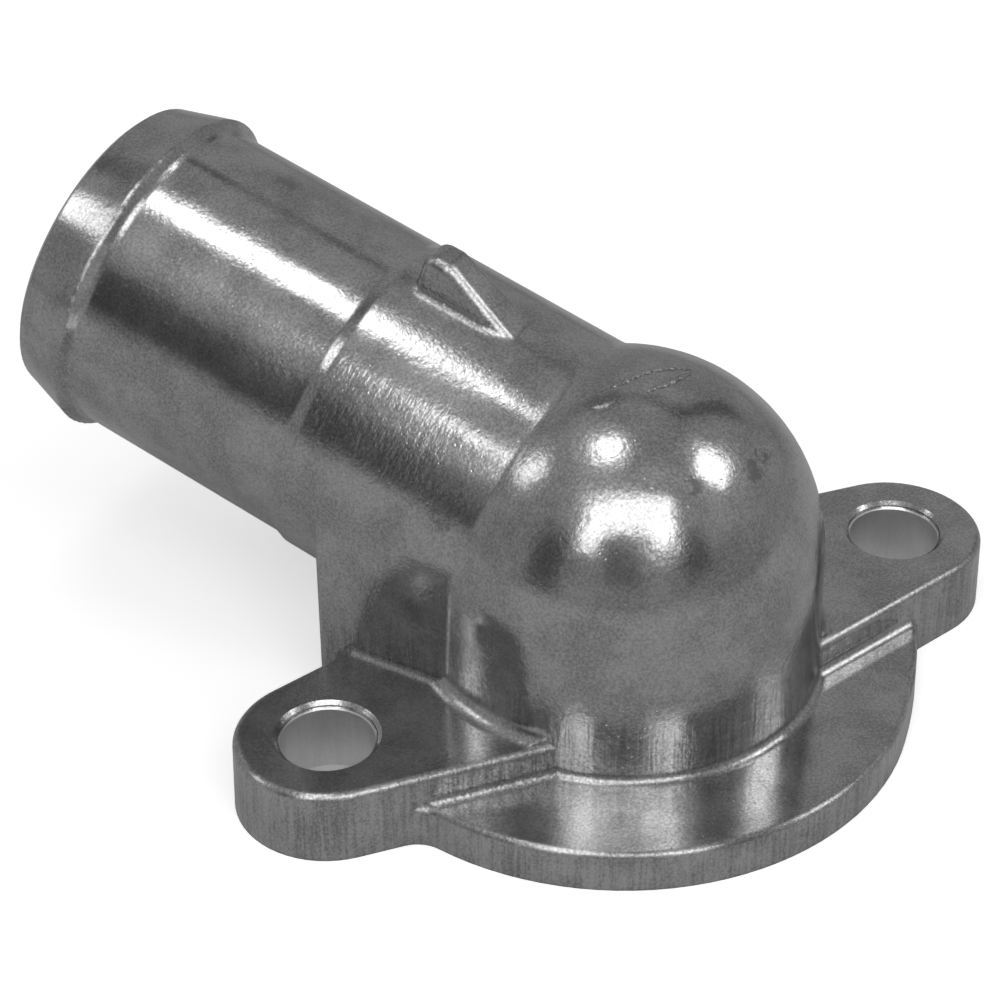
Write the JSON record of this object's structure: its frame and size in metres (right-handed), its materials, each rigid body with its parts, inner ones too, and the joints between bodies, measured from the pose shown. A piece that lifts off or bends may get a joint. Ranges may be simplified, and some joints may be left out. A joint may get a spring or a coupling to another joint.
{
  "type": "coolant water outlet",
  "caption": "Cast coolant water outlet: domed body with an angled, beaded hose neck, on a round flange with bolt ears and a web under the neck.",
  "frame": {"origin": "on the mounting face, midway between the two bolt holes", "axes": "+X along the line of the bolt holes, +Z out of the mounting face through the dome; the neck leaves toward -X and +Y and rises a little"},
  "size_m": [0.0994, 0.1032, 0.057],
  "materials": {
    "cast_aluminium": "bare die cast, satin"
  },
  "bodies": {
    "root": {"outlet_casting": "cast_aluminium"}
  },
  "joints": []
}
